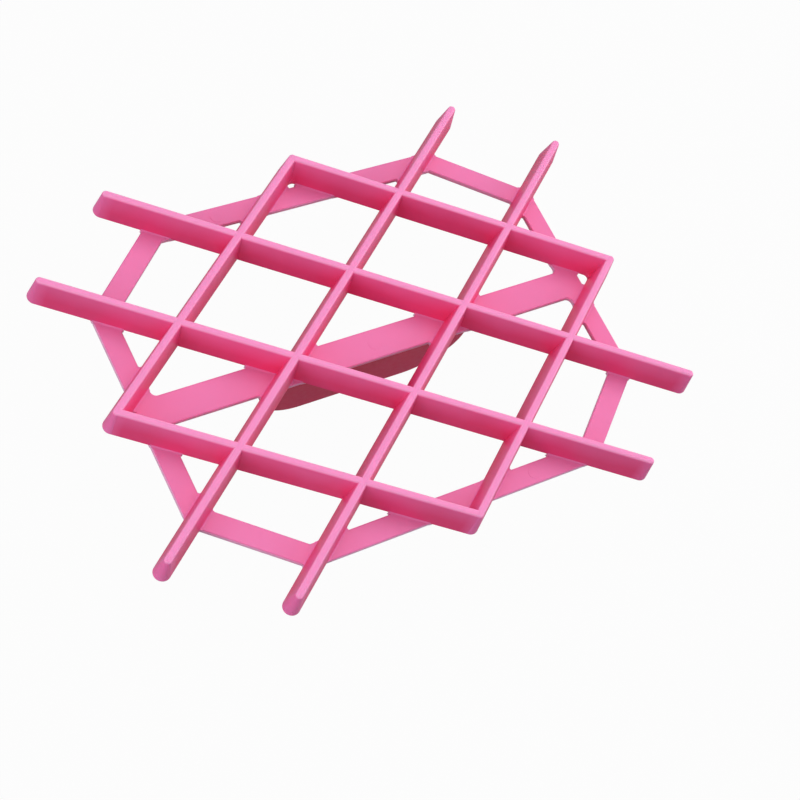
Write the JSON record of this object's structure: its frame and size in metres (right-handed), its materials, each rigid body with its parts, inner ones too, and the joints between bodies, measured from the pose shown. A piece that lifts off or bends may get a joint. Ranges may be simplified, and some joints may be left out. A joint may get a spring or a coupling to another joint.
{
  "type": "fondant quilt embosser",
  "caption": "Flat kitchen embosser with crossed tapered ribs in a diamond lattice, an open web ring and spine behind them, and a plate handle for pressing a quilted pattern into fondant.",
  "frame": {"origin": "middle of the handle's lower edge, below the middle of the diamond lattice", "axes": "+X along the spine and the lattice's long diagonal, +Y across it, +Z from the handle towards the embossing edges"},
  "size_m": [0.1272, 0.0946, 0.0254],
  "materials": {
    "ribs": "semi-gloss injection-moulded pink plastic",
    "web": "semi-gloss injection-moulded pink plastic",
    "handle": "semi-gloss injection-moulded pink plastic"
  },
  "bodies": {
    "root": {"long_rib_rising_left": "ribs", "long_rib_rising_right": "ribs", "long_rib_falling_left": "ribs", "long_rib_falling_right": "ribs", "short_rib_rising_left": "ribs", "short_rib_rising_right": "ribs", "short_rib_falling_left": "ribs", "short_rib_falling_right": "ribs", "ring_end_left": "web", "ring_end_right": "web", "ring_side_front": "web", "ring_side_back": "web", "ring_corner_front_left": "web", "ring_corner_front_right": "web", "ring_corner_back_left": "web", "ring_corner_back_right": "web", "spine_bar": "web", "handle_plate": "handle"}
  },
  "joints": []
}
